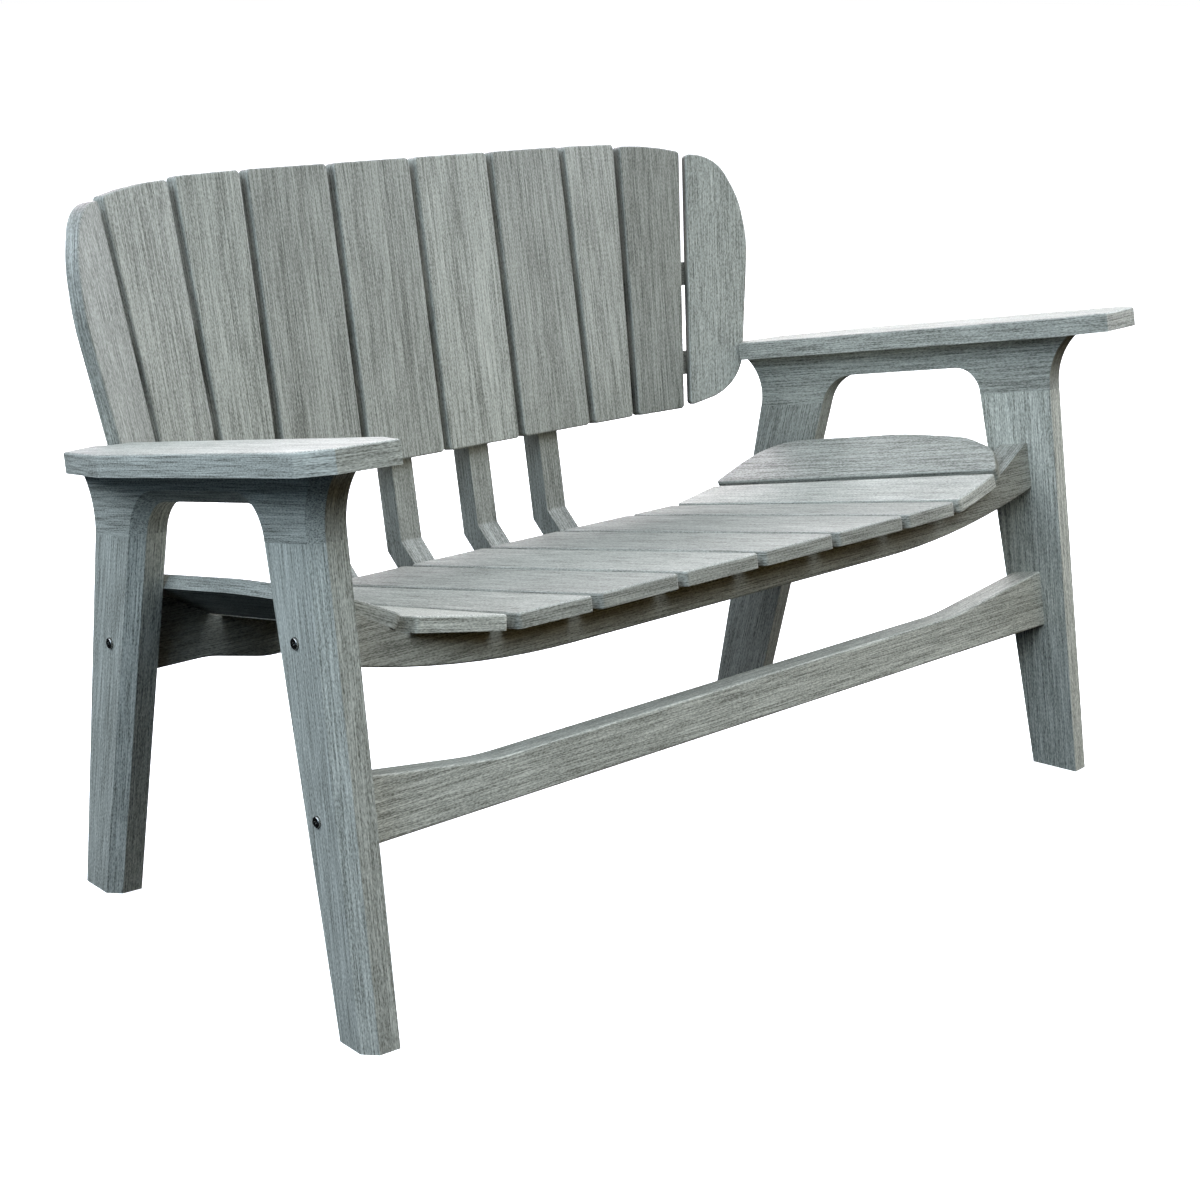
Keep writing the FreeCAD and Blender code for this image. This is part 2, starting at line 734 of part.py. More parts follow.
# Uprights: straight behind the back slats, cranked forward below them to a foot under the rear rail.
upright_front = "(Sheet.back_front + Sheet.slat_thickness)"
upright_rear = "(%s + Sheet.upright_depth)" % upright_front
upright_top = "(Sheet.upper_rail_height + Sheet.back_rail_height / 2)"
foot_top = rear_low
foot_low = "(%s - Sheet.upright_foot)" % rear_low
foot_front = "Sheet.seat_rear - Sheet.rear_rail_inset - Sheet.rail_thickness"
sole = "%s - (Sheet.upright_rear_knee - %s) * tan(Sheet.upright_slope)" % (upright_rear, foot_low)
instep = "%s - (Sheet.upright_knee - %s) * tan(Sheet.upright_slope)" % (upright_front, foot_top)
upright_places = ["Sheet.slat_gap / 2 + Sheet.slat_width / 2",
                  "Sheet.slat_gap + Sheet.slat_width * 3 / 2"]
upright_blanks = []
for index, place in enumerate(upright_places):
    start = Vector(number(place) - size("upright_width") / 2, 0, 0)
    upright = body("upright_blank_%d" % (index + 1), leaning.multiply(Placement(start, Rotation())))
    knees = [(upright_rear, "Sheet.upright_rear_knee"), (upright_front, "Sheet.upright_knee")]
    outline = profile(upright, "YZ_Plane", [
        (upright_front, upright_top),
        (upright_rear, upright_top),
        knees[0],
        (sole, foot_low),
        (foot_front, foot_low),
        (foot_front, foot_top),
        (instep, foot_top),
        knees[1],
    ])
    pad(upright, outline, "Sheet.upright_width")
    for knee in knees:
        round_corner(upright, *knee, "yz", "Sheet.upright_knee_round")
    upright_blanks.append(upright)

# Back rails: bent boards between the slats' rear faces and a matching rear surface, thinned at the ends.
# Rail and upright each give up half their depth where they cross.
rail_heights = {"upper": size("upper_rail_height"), "lower": size("lower_rail_height")}
lap_middle = size("back_front") + size("slat_thickness") + size("upright_depth") / 2
back_rails = {}
for label, height in rail_heights.items():
    low = height - size("back_rail_height") / 2
    end = folded(back_panel, "back")[1]
    rail_end = size("back_fold_gap") / 2 + size("back_rail_end")
    tip = end.multVec(Vector(rail_end, height - size("back_bottom"), 0))
    spans = (2 * tip.x, 2 * FAR, "Sheet.back_rail_height")
    band = block(label + "_band", leaning, Vector(-tip.x, -FAR, low), spans)
    strip = common([rail_back, band], label + "_strip")
    back_rails[label] = cut(strip, back_bed, label + "_curved")

lap_spaces = []
for place in upright_places:
    wide = size("upright_width") + 2 * size("lap_clearance")
    space = block("lap_space", leaning, Vector(number(place) - wide / 2, lap_middle, 0), (wide, FAR, FAR))
    lap_spaces.append(space)
    lap_spaces.append(mirrored(space, "lap_space_mirror"))
lap_tool = feature("lap_tool", Part.makeCompound([space.Shape for space in lap_spaces]))
for label in back_rails:
    back_rails[label] = cut(back_rails[label], lap_tool, label + "_lapped")

notches = []
for label, height in rail_heights.items():
    tall = size("back_rail_height") + 2 * size("lap_clearance")
    low = height - tall / 2
    if label == "upper":
        tall = FAR
    corner = Vector(-FAR, lap_middle - FAR, low)
    notches.append(block(label + "_notch", leaning, corner, (2 * FAR, FAR, tall)))
notch_tool = feature("notch_tool", Part.makeCompound([notch.Shape for notch in notches]))
uprights = [cut(blank, notch_tool, blank.Name + "_notched") for blank in upright_blanks]


# Fixings: each kind is one turned shape, its hole shape a little larger, and a list of places.
# In its own axes a fixing points along +Z with the underside of its head at zero.
def fixing(radius, length, head_radius, head_height, point):
    shank = Part.makeCylinder(radius, length - point)
    if point:
        shank = shank.fuse(Part.makeCone(radius, 0, point, Vector(0, 0, length - point)))
    head = Part.makeCylinder(head_radius, head_height, Vector(0, 0, -head_height))
    return shank.fuse(head).removeSplitter()


def bore(radius, length, head_radius, outward):
    clear = size("fit_clearance")
    shank = Part.makeCylinder(radius + clear, length + size("tip_clearance"))
    head = Part.makeCylinder(head_radius + clear, outward, Vector(0, 0, -outward))
    return shank.fuse(head)


def screw(length):
    return fixing(size("screw_radius"), length, size("screw_head_radius"), size("screw_head_height"),
                  size("screw_point"))


def screw_bore(length):
    return bore(size("screw_radius"), length, size("screw_head_radius"), size("long_screw"))


def both_sides(shape):
    return Part.makeCompound([shape, shape.mirror(Vector(0, 0, 0), X_AXIS)])


# Frame bolts: one through each leg into every rail end, a little forward of the middle of the end
# and below it, with a barrel nut in the rail.
front_end = (front_rail_front + size("rail_thickness") / 2,
             number("(%s + %s) / 2" % (front_end_low, front_end_top)))
stretcher_middle = (front_end[0], number("(Sheet.stretcher_bottom + %s) / 2" % stretcher_end))
rear_end = (rear_rail_front + size("rail_thickness") / 2,
            number("(%s + %s) / 2" % (rear_end_low, rear_end_top)))
bolt_length = size("frame_thickness") - size("bolt_seat_depth") + size("bolt_reach")
bolt_solid = fixing(size("bolt_radius"), bolt_length, size("bolt_head_radius"), size("bolt_head_height"), 0)
rim = []
for edge in bolt_solid.Edges:
    if abs(edge.BoundBox.ZMax + size("bolt_head_height")) < NEAR:
        rim.append(edge)
bolt_solid = bolt_solid.makeFillet(size("bolt_head_round"), rim)
socket_face = Part.Face(Part.makePolygon([
    Vector(size("bolt_socket_width") / 2 * math.cos(step * math.pi / 3),
           size("bolt_socket_width") / 2 * math.sin(step * math.pi / 3), -size("bolt_head_height"))
    for step in range(7)]))
bolt_solid = bolt_solid.cut(socket_face.extrude(Vector(0, 0, size("bolt_socket_depth"))))
recess_radius = size("bolt_head_radius") + size("bolt_head_clearance")
bolt_bore = bore(size("bolt_radius"), bolt_length, recess_radius, size("frame_thickness"))
bolt_places = []
nut_places = []
for y, z in (front_end, stretcher_middle, rear_end):
    level = z - size("bolt_drop")
    along, up = in_side(y - size("bolt_forward"), level)
    seat = Vector(along, size("bolt_seat_depth"), up)
    bolt_places.append(side.multiply(turn(X_AXIS, -90, seat)))
    along, up = in_side(y, level)
    centre = side.multVec(Vector(along, size("frame_thickness") + size("nut_inset"), up))
    nut_places.append(Placement(centre, leaning.Rotation.multiply(Rotation(X_AXIS, -90))))
bolt_holes = feature("bolt_holes", copies(bolt_bore, bolt_places))
frame_bolts = feature("frame_bolts", both_sides(copies(bolt_solid, bolt_places)))

nut_length = size("rail_thickness") - 2 * size("nut_end_gap")
nut_low = Vector(0, 0, -nut_length / 2)
nut_solid = Part.makeCylinder(size("nut_radius"), nut_length, nut_low)
nut_blank = feature("nut_blank", copies(nut_solid, nut_places))
nuts_bored = cut(nut_blank, bolt_holes, "nuts_bored")
barrel_nuts = feature("barrel_nuts", both_sides(nuts_bored.Shape))
clear = size("fit_clearance")
nut_bore = Part.makeCylinder(size("nut_radius") + clear, nut_length + size("nut_end_gap") + clear, nut_low)
nut_holes = feature("nut_holes", copies(nut_bore, nut_places))

# Dowels: two across every seam between a leg and its arch.
dowel_half = size("dowel_half_length")
dowel_low = Vector(0, 0, -dowel_half)
dowel_solid = Part.makeCylinder(size("dowel_radius"), 2 * dowel_half, dowel_low)
dowel_gap = size("tip_clearance")
dowel_bore = Part.makeCylinder(size("dowel_radius") + clear, 2 * (dowel_half + dowel_gap),
                               Vector(0, 0, -dowel_half - dowel_gap))
dowel_places = []
for setback, width in (("front_top_setback", "front_top_width"), ("rear_top_setback", "rear_top_width")):
    for way in (-1, 1):
        along = size(setback) + size(width) / 2 + way * size("dowel_spread")
        spot = Vector(along, size("frame_thickness") / 2, 0)
        dowel_places.append(arch_frame.multiply(Placement(spot, Rotation())))
leg_dowels = feature("leg_dowels", both_sides(copies(dowel_solid, dowel_places)))
dowel_holes = feature("dowel_holes", copies(dowel_bore, dowel_places))

# Arm screws: driven up through the thin crown of the arch into the arm.
arm_middle = (size("front_top_setback") + size("front_top_width") + size("rear_top_setback")) / 2
arm_screw_places = []
for way in (-1, 1):
    seat_level = size("arch_height") + size("arm_bite") - size("long_screw")
    spot = Vector(arm_middle + way * size("arm_screw_spread"), size("frame_thickness") / 2, seat_level)
    arm_screw_places.append(arch_frame.multiply(Placement(spot, Rotation())))
arm_screws = feature("arm_screws", both_sides(copies(screw(size("long_screw")), arm_screw_places)))
arm_holes = feature("arm_holes", copies(screw_bore(size("long_screw")), arm_screw_places))


# Slat screws: square to each slat, up from under the seat rails or in from behind the back rails.
def slat_screw(placement, across, level, axis, length):
    start = placement.multVec(Vector(across, 0, 0))
    way = placement.Rotation.multVec(Y_AXIS)
    start_level = leaning.inverse().multVec(start).dot(axis)
    along = (level - start_level) / leaning.inverse().Rotation.multVec(way).dot(axis)
    depth = -size("slat_thickness") - length + size("slat_bite")
    return placement.multiply(Placement(Vector(across, along, depth), Rotation()))


def screw_spots(panel, part):
    wing, edge = folded(panel, part)
    taper = number("%s + Sheet.%s_taper_width / 2" % (middle_end, part))
    long_ones = []
    for place in range(2):
        step = place * (size("slat_width") + size("slat_gap"))
        centre = number(half_gap) + step + size("slat_width") / 2
        for way in (-1, 1):
            long_ones.append((panel, centre + way * size("screw_spread")))
    long_ones.append((panel, taper))
    long_ones.append((wing, number("%s + Sheet.%s_wing_width / 2" % (half_gap, part))))
    edge_one = (edge, size(part + "_fold_gap") / 2 + size("edge_screw_in"))
    return long_ones, edge_one


seat_places = []
for level in (front_end[0], rear_end[0]):
    long_ones, edge_one = screw_spots(seat_panel, "seat")
    for placement, across in long_ones + [edge_one]:
        seat_places.append(slat_screw(placement, across, level, Y_AXIS, size("long_screw")))
back_places = []
short_places = []
for height in rail_heights.values():
    long_ones, edge_one = screw_spots(back_panel, "back")
    for placement, across in long_ones:
        back_places.append(slat_screw(placement, across, height, Z_AXIS, size("long_screw")))
    short_places.append(slat_screw(*edge_one, height, Z_AXIS, size("short_screw")))
seat_screws = feature("seat_screws", both_sides(copies(screw(size("long_screw")), seat_places)))
seat_holes = feature("seat_holes", both_sides(copies(screw_bore(size("long_screw")), seat_places)))
back_screws = feature("back_screws", both_sides(copies(screw(size("long_screw")), back_places)))
back_holes = feature("back_holes", both_sides(copies(screw_bore(size("long_screw")), back_places)))

# Lap screws: through the rear half of each upright into the rail it crosses.
for height in rail_heights.values():
    for place in upright_places:
        spot = Vector(number(place), number(upright_rear) - size("screw_head_height"), height)
        short_places.append(leaning.multiply(Placement(spot, Rotation(X_AXIS, 90))))
short_screws = feature("short_screws", both_sides(copies(screw(size("short_screw")), short_places)))
short_holes = feature("short_holes", both_sides(copies(screw_bore(size("short_screw")), short_places)))

# Foot screws: up through each upright's foot into the underside of the rear rail.
foot_places = []
for place in upright_places:
    for way in (-1, 1):
        spot = Vector(number(place), rear_end[0] + way * size("foot_screw_spread"), 0)
        spot.z = number(foot_low) + size("foot_screw_recess")
        foot_places.append(leaning.multiply(Placement(spot, Rotation())))
foot_screws = feature("foot_screws", both_sides(copies(screw(size("long_screw")), foot_places)))
foot_holes = feature("foot_holes", both_sides(copies(screw_bore(size("long_screw")), foot_places)))


# Finished pieces: every blank loses the holes of the fixings that pass through it.
def finished(name, base, holes):
    made = base
    for index, tool in enumerate(holes):
        made = cut(made, tool, "%s_%d" % (base.Name, index + 1))
    nodes[name] = made


def pair(name, base, holes, built):
    other = "left" if built == "right" else "right"
    finished("%s_%s" % (built, name), base, holes)
    nodes["%s_%s" % (other, name)] = mirrored(nodes["%s_%s" % (built, name)], name + "_mirror")


pair("front_leg", front_leg, [bolt_holes, dowel_holes], "right")
pair("rear_leg", rear_leg, [bolt_holes, dowel_holes], "right")
pair("arm_arch", arch, [dowel_holes, arm_holes], "right")
pair("arm", arm, [arm_holes], "right")

both_bolt_holes = feature("both_bolt_holes", both_sides(bolt_holes.Shape))
both_nut_holes = feature("both_nut_holes", both_sides(nut_holes.Shape))
finished("front_seat_rail", front_fitted, [both_bolt_holes, both_nut_holes, seat_holes])
finished("rear_seat_rail", rear_fitted, [both_bolt_holes, both_nut_holes, seat_holes, foot_holes])
finished("front_stretcher", stretcher_fitted, [both_bolt_holes, both_nut_holes])

for index, base in enumerate(uprights):
    near = "back_upright_%d" % (3 + index)
    finished(near, base, [short_holes, foot_holes])
    nodes["back_upright_%d" % (2 - index)] = mirrored(nodes[near], base.Name + "_mirror")
for label, base in back_rails.items():
    finished(label + "_back_rail", base, [back_holes, short_holes])

for index, base in enumerate(seat_half):
    near = "seat_slat_%02d" % (5 - index)
    finished(near, base, [seat_holes])
    nodes["seat_slat_%02d" % (6 + index)] = mirrored(nodes[near], base.Name + "_mirror")
for index, base in enumerate(back_half):
    near = "back_slat_%02d" % (6 + index)
    finished(near, base, [back_holes, short_holes])
    nodes["back_slat_%02d" % (5 - index)] = mirrored(nodes[near], base.Name + "_mirror")

nodes["frame_bolts"] = frame_bolts
nodes["barrel_nuts"] = barrel_nuts
nodes["leg_dowels"] = leg_dowels
nodes["arm_screws"] = arm_screws
nodes["seat_slat_screws"] = seat_screws
nodes["back_slat_screws"] = back_screws
nodes["lap_screws"] = short_screws
nodes["foot_screws"] = foot_screws

# The finished seat stands centred on the origin with its feet on the floor.
bounds = FreeCAD.BoundBox()
for made in nodes.values():
    bounds.add(made.Shape.BoundBox)
centring = Vector(-bounds.Center.x, -bounds.Center.y, -bounds.ZMin)
os.makedirs("parts", exist_ok=True)
for name, made in sorted(nodes.items()):
    made.Label = name
    check(made)
    shape = made.Shape.copy()
    shape.translate(centring)
    shape.exportStep("parts/%s.step" % name)
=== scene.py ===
import math

import bmesh
import bpy
from mathutils import Matrix, Vector

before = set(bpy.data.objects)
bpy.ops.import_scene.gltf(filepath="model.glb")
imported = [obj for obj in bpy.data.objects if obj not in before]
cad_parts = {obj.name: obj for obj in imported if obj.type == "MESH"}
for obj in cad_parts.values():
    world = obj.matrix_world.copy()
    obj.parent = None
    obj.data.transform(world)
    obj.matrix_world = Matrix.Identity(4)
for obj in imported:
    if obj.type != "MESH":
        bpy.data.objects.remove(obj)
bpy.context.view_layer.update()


# Legs: straight tapered boards of grey recycled-plastic lumber, two to a side, doweled to the arches.
# The lumber is extruded with a brushed wood grain that runs along each board, and every board
# is sawn from its own length, so no two show the same streaks. Each board's colour is also scaled
# by its own factor, which holds both the board's own grey and painted light and shade: some boards
# are made lighter or darker to stand in for how the light falls on them.
def add_node(tree, kind, **settings):
    """A new node in a shader tree, with its settings."""
    node = tree.nodes.new(kind)
    for name, value in settings.items():
        setattr(node, name, value)
    return node


def join(tree, start, end):
    """A link from one node's output to another's input."""
    tree.links.new(start, end)


grain = bpy.data.node_groups.new("brushed_grain", "ShaderNodeTree")
# One input scales each board's colour; it holds the board's own grey together with painted light and
# shade.
for socket_name, socket_kind in (
    ("Board", "NodeSocketVector"),
    ("Face", "NodeSocketVector"),
    ("Tone And Painted Light", "NodeSocketFloat"),
    ("Figure", "NodeSocketFloat"),
    ("Dark Streak", "NodeSocketColor"),
    ("Pale Streak", "NodeSocketColor"),
):
    grain.interface.new_socket(socket_name, in_out="INPUT", socket_type=socket_kind)
for socket_name, socket_kind in (
    ("Colour", "NodeSocketColor"),
    ("Roughness", "NodeSocketFloat"),
    ("Height", "NodeSocketFloat"),
):
    grain.interface.new_socket(socket_name, in_out="OUTPUT", socket_type=socket_kind)

grain_in = add_node(grain, "NodeGroupInput")
grain_out = add_node(grain, "NodeGroupOutput")

# Places of the vector and colour sockets on a Mix node, which has one set for each kind of value.
EDGE_SIDE, FACE_SIDE, MIXED_VECTOR = 4, 5, 1
DARK_SIDE, PALE_SIDE, MIXED_COLOUR = 6, 7, 2

# The brush runs lengthwise on a board's faces and round its sawn edges and ends.
# The change is made where a surface is about halfway between facing out and lying edge on.
EDGE_ENDS, FACE_STARTS = 0.42, 0.58
surface = add_node(grain, "ShaderNodeTexCoord")
facing = add_node(grain, "ShaderNodeVectorMath", operation="DOT_PRODUCT")
join(grain, surface.outputs["Normal"], facing.inputs[0])
join(grain, grain_in.outputs["Face"], facing.inputs[1])
either_side = add_node(grain, "ShaderNodeMath", operation="ABSOLUTE")
join(grain, facing.outputs["Value"], either_side.inputs[0])
on_face = add_node(grain, "ShaderNodeMapRange", interpolation_type="SMOOTHSTEP")
on_face.inputs["From Min"].default_value = EDGE_ENDS
on_face.inputs["From Max"].default_value = FACE_STARTS
join(grain, either_side.outputs[0], on_face.inputs["Value"])


def drawn_out(times):
    """Board places squeezed across the grain, so that a pattern laid on them runs lengthwise."""
    stretch = add_node(grain, "ShaderNodeMix", data_type="VECTOR")
    stretch.inputs[EDGE_SIDE].default_value = (1.0, 1.0, times)
    stretch.inputs[FACE_SIDE].default_value = (1.0, times, times)
    join(grain, on_face.outputs["Result"], stretch.inputs["Factor"])
    drawn = add_node(grain, "ShaderNodeVectorMath", operation="MULTIPLY")
    join(grain, grain_in.outputs["Board"], drawn.inputs[0])
    join(grain, stretch.outputs[MIXED_VECTOR], drawn.inputs[1])
    return drawn.outputs["Vector"]


def pattern(places, scale, detail, spread):
    """A streaky pattern about zero, whose usual low and high noise values become -0.5 and 0.5."""
    noise = add_node(grain, "ShaderNodeTexNoise")
    noise.inputs["Scale"].default_value = scale
    noise.inputs["Detail"].default_value = detail
    noise.inputs["Roughness"].default_value = 0.55
    join(grain, places, noise.inputs["Vector"])
    levels = add_node(grain, "ShaderNodeMapRange", clamp=False)
    levels.inputs["From Min"].default_value = spread[0]
    levels.inputs["From Max"].default_value = spread[1]
    levels.inputs["To Min"].default_value = -0.5
    levels.inputs["To Max"].default_value = 0.5
    join(grain, noise.outputs["Fac"], levels.inputs["Value"])
    return levels.outputs["Result"]


def add_share(layer, share, running):
    """The running level with a share of one more layer; share and level are numbers or outputs."""
    part = add_node(grain, "ShaderNodeMath", operation="MULTIPLY_ADD")
    join(grain, layer, part.inputs[0])
    for end, value in ((part.inputs[1], share), (part.inputs[2], running)):
        if isinstance(value, float):
            end.default_value = value
        else:
            join(grain, value, end)
    return part.outputs[0]


# Four layers make the grain: fine lines, soft bands, slow figure and the speckle of the brush.
STREAK_SPREAD, SPECKLE_SPREAD = (0.36, 0.64), (0.34, 0.66)
MIDDLE_LEVEL, LINE_SHARE, BAND_SHARE, SPECKLE_SHARE = 0.5, 0.54, 0.07, 0.48
DARK_ROUGHNESS, PALE_ROUGHNESS = 0.60, 0.44
long_strokes = drawn_out(46.0)
slow_strokes = drawn_out(16.0)
short_strokes = drawn_out(3.0)
lines = pattern(long_strokes, 13.0, 2.0, STREAK_SPREAD)
bands = pattern(slow_strokes, 5.5, 2.0, STREAK_SPREAD)
figure = pattern(slow_strokes, 2.0, 3.0, STREAK_SPREAD)
speckle = pattern(short_strokes, 240.0, 1.0, SPECKLE_SPREAD)
level = add_share(lines, LINE_SHARE, MIDDLE_LEVEL)
level = add_share(bands, BAND_SHARE, level)
level = add_share(speckle, SPECKLE_SHARE, level)
level = add_share(figure, grain_in.outputs["Figure"], level)
tint = add_node(grain, "ShaderNodeMix", data_type="RGBA")
join(grain, level, tint.inputs["Factor"])
join(grain, grain_in.outputs["Dark Streak"], tint.inputs[DARK_SIDE])
join(grain, grain_in.outputs["Pale Streak"], tint.inputs[PALE_SIDE])
# The streaked colour is scaled by the board's own factor, which holds its own grey and painted light
# and shade: boards are made lighter or darker to stand in for how much light falls on them.
shaded = add_node(grain, "ShaderNodeVectorMath", operation="SCALE")
join(grain, tint.outputs[MIXED_COLOUR], shaded.inputs[0])
join(grain, grain_in.outputs["Tone And Painted Light"], shaded.inputs["Scale"])
join(grain, shaded.outputs["Vector"], grain_out.inputs["Colour"])
dull = add_node(grain, "ShaderNodeMapRange")
dull.inputs["To Min"].default_value = DARK_ROUGHNESS
dull.inputs["To Max"].default_value = PALE_ROUGHNESS
join(grain, level, dull.inputs["Value"])
join(grain, dull.outputs["Result"], grain_out.inputs["Roughness"])
join(grain, level, grain_out.inputs["Height"])

DARK_STREAK, PALE_STREAK = (0.124, 0.125, 0.103, 1), (0.537, 0.542, 0.480, 1)
USUAL_FIGURE = 0.12


def dress_board(name, along, face, tone_and_painted_light, figure=USUAL_FIGURE):
    """Puts the brushed finish on one board, turned so that the grain follows the board."""
    long_way = Vector(along).normalized()
    out_way = Vector(face)
    out_way = (out_way - long_way * out_way.dot(long_way)).normalized()
    laid = Matrix((long_way, out_way.cross(long_way), out_way)).transposed()
    finish = bpy.data.materials.new(name + "_lumber")
    finish.use_nodes = True
    tree = finish.node_tree
    place = add_node(tree, "ShaderNodeTexCoord")
    turned = add_node(tree, "ShaderNodeMapping", vector_type="TEXTURE")
    turned.inputs["Rotation"].default_value = laid.to_euler()
    join(tree, place.outputs["Object"], turned.inputs["Vector"])
    wood = add_node(tree, "ShaderNodeGroup", node_tree=grain)
    join(tree, turned.outputs["Vector"], wood.inputs["Board"])
    wood.inputs["Face"].default_value = out_way
    # The board's colour factor holds its own grey and painted light and shade.
    wood.inputs["Tone And Painted Light"].default_value = tone_and_painted_light
    wood.inputs["Figure"].default_value = figure
    wood.inputs["Dark Streak"].default_value = DARK_STREAK
    wood.inputs["Pale Streak"].default_value = PALE_STREAK
    raised = add_node(tree, "ShaderNodeBump")
    raised.inputs["Strength"].default_value = 0.25
    raised.inputs["Distance"].default_value = 0.0006
    join(tree, wood.outputs["Height"], raised.inputs["Height"])
    skin = tree.nodes["Principled BSDF"]
    skin.inputs["Specular IOR Level"].default_value = 0.45
    join(tree, wood.outputs["Colour"], skin.inputs["Base Color"])
    join(tree, wood.outputs["Roughness"], skin.inputs["Roughness"])
    join(tree, raised.outputs["Normal"], skin.inputs["Normal"])
    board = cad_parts[name]
    board.data.materials.clear()
    board.data.materials.append(finish)


def turned_over(way, hand):
    """A direction whose sideways part is turned over where hand is -1."""
    return (way[0] * hand, way[1], way[2])


SIDE_FACE = (0.996, 0.090, 0.0)
FRONT_LEG_WAY, REAR_LEG_WAY = (-0.0124, 0.137, 0.990), (0.0201, -0.222, 0.975)
# Each leg's colour factor holds its own grey and painted light and shade: the legs are made lighter
# or darker for the light that falls on them, the right front one lightest and the right rear one
# darkest.
for side, hand, front_tone_and_painted_light, rear_tone_and_painted_light in (("left", -1, 1.19, 1.16), ("right", 1, 1.36, 0.91)):
    outward = turned_over(SIDE_FACE, hand)
    dress_board(side + "_front_leg", turned_over(FRONT_LEG_WAY, hand), outward, front_tone_and_painted_light)
    dress_board(side + "_rear_leg", turned_over(REAR_LEG_WAY, hand), outward, rear_tone_and_painted_light)


# Arches: the flared heads that join each pair of legs under the arm, doweled to both.
# They are sawn from the same lumber with the grain running from front to back.
ARCH_WAY = (-0.089, 0.982, -0.168)
# Each arch's colour factor holds its own grey and painted light and shade, lighter or darker for the
# light on it.
for side, hand, tone_and_painted_light in (("left", -1, 1.03), ("right", 1, 0.95)):
    outward = turned_over(SIDE_FACE, hand)
    dress_board(side + "_arm_arch", turned_over(ARCH_WAY, hand), outward, tone_and_painted_light)


# Rails and stretcher: three boards of the same lumber on edge, bolted between the legs.
# The two seat rails are dished to carry the folded seat, and the grain of all three runs crosswise.
CROSSWISE = (1, 0, 0)
RAIL_FACE = (0.0, -0.986, 0.168)
# Each colour factor holds the board's own grey and painted light and shade: the seat rails are
# painted darker for the shade under the seat, the rear one most, and the stretcher is painted
# lighter.
dress_board("front_seat_rail", CROSSWISE, RAIL_FACE, 0.86)
dress_board("rear_seat_rail", CROSSWISE, RAIL_FACE, 0.74)
dress_board("front_stretcher", CROSSWISE, RAIL_FACE, 1.28)


# Seat slats: ten boards laid from front to rear and screwed up from the rails.
# The two on each side fold up into a shallow bucket, so their grain turns with them.
def dress_slats(kind, lays, tones_and_painted_light, figures):
    """Dresses ten slats, whose lays are given for the edge, wing and straight ones on the left."""
    for number, (tone_and_painted_light, figure) in enumerate(zip(tones_and_painted_light, figures)):
        from_edge = min(number, len(tones_and_painted_light) - 1 - number)
        hand = 1 if number == from_edge else -1
        along, face = lays[min(from_edge, len(lays) - 1)]
        name = "%s_slat_%02d" % (kind, number + 1)
        dress_board(name, turned_over(along, hand), turned_over(face, hand), tone_and_painted_light, figure)


SEAT_LAYS = (
    ((0.114, 0.978, -0.177), (0.488, 0.100, 0.867)),
    ((0.052, 0.985, -0.167), (0.161, 0.157, 0.974)),
    ((0.0, 0.986, -0.168), (0.0, 0.168, 0.986)),
)
# Each slat's colour factor holds its own grey and painted light and shade; the second slat from the
# left is painted much lighter, and the others lighter or darker, for how the light falls on them.
SEAT_TONES_AND_PAINTED_LIGHT = (0.90, 1.34, 0.98, 0.84, 0.97, 0.86, 0.87, 0.94, 1.19, 1.02)
SEAT_FIGURES = (0.08,) * len(SEAT_TONES_AND_PAINTED_LIGHT)
dress_slats("seat", SEAT_LAYS, SEAT_TONES_AND_PAINTED_LIGHT, SEAT_FIGURES)


# Uprights: four cranked boards, sawn from the flat, that carry the back from the rear rail.
# Two back rails of the same lumber are halved over them and hold the back slats.
# The uprights' and back rails' colour factors hold their own grey and a painted shade that darkens
# them for the shade they stand in behind the back slats.
UPRIGHT_WAY, UPRIGHT_FACE, UPRIGHT_TONE_AND_PAINTED_SHADE = (0, 0.168, 0.986), (1, 0, 0), 0.80
BACK_RAIL_TONE_AND_PAINTED_SHADE = 0.85
for number in range(1, 5):
    dress_board("back_upright_%d" % number, UPRIGHT_WAY, UPRIGHT_FACE, UPRIGHT_TONE_AND_PAINTED_SHADE)
for name in ("upper_back_rail", "lower_back_rail"):
    dress_board(name, CROSSWISE, RAIL_FACE, BACK_RAIL_TONE_AND_PAINTED_SHADE)


# Back slats: ten boards fanned upright, folded forward at both sides like the seat, and screwed
# from the back rails. Broad grain figure shows most here. Each board's colour factor holds its own
# grey and painted light and shade, lighter or darker for how the light falls on each slat.
BACK_LAYS = (
    ((-0.114, 0.157, 0.981), (0.488, -0.851, 0.193)),
    ((-0.052, 0.167, 0.985), (0.161, -0.972, 0.174)),
    ((0.0, 0.168, 0.986), (0.0, -0.986, 0.168)),
)
BACK_TONES_AND_PAINTED_LIGHT = (0.76, 0.92, 0.97, 0.82, 0.86, 1.00, 0.83, 0.91, 0.73, 1.02)
BACK_FIGURES = (0.12, 0.12, 0.14, 0.24, 0.24, 0.32, 0.16, 0.16, 0.12, 0.10)
dress_slats("back", BACK_LAYS, BACK_TONES_AND_PAINTED_LIGHT, BACK_FIGURES)


# Arms: flat boards of the same lumber with clipped noses and tapered rear ends.
# They lie on the arches, which are screwed up into them, and their grain runs from front to back.
ARM_FACE = (-0.015, 0.167, 0.986)
# Each arm's colour factor holds its own grey and painted light and shade, lighter or darker for the
# light on it.
for side, hand, tone_and_painted_light in (("left", -1, 1.11), ("right", 1, 1.03)):
    dress_board(side + "_arm", turned_over(ARCH_WAY, hand), turned_over(ARM_FACE, hand), tone_and_painted_light)


